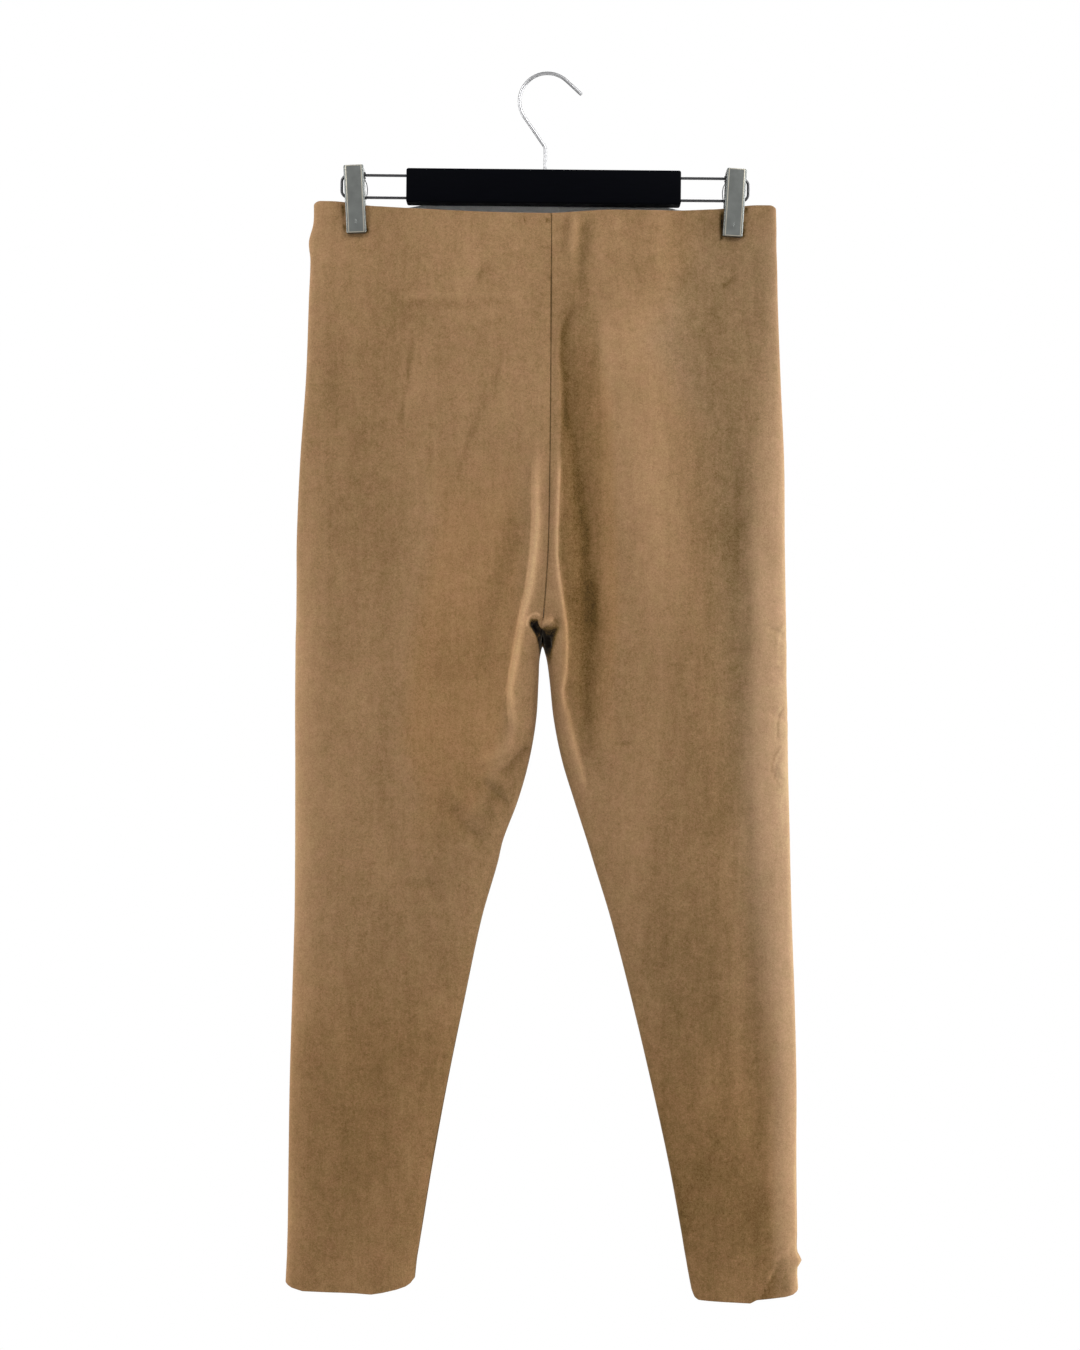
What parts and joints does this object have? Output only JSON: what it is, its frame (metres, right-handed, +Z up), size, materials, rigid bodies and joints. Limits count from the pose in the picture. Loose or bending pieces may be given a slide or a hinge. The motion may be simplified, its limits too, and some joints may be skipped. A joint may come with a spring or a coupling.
{
  "type": "suede leggings on a clip hanger",
  "caption": "Slim suede leggings with raw waist and hems, hung flat by the waist from a bar hanger with a wire hook and sprung clips.",
  "frame": {"origin": "inside top of the hook, where a rail bears", "axes": "+Z up, the front of the leggings faces -Y, +X to the right of someone who looks at the front"},
  "size_m": [0.4527, 0.0501, 1.0802],
  "materials": {
    "suede": "brushed matt nap, camel",
    "bar": "satin black",
    "chrome": "polished",
    "steel": "satin grey"
  },
  "bodies": {
    "root": {"front_left": "suede", "front_right": "suede", "back_left": "suede", "back_right": "suede", "hanger_bar": "bar", "hanger_hook": "chrome", "rod_left": "chrome", "rod_right": "chrome", "clip_left_front": "steel", "clip_left_back": "steel", "clip_left_pin": "steel", "clip_left_spring": "steel", "clip_right_front": "steel", "clip_right_back": "steel", "clip_right_pin": "steel", "clip_right_spring": "steel"}
  },
  "joints": []
}
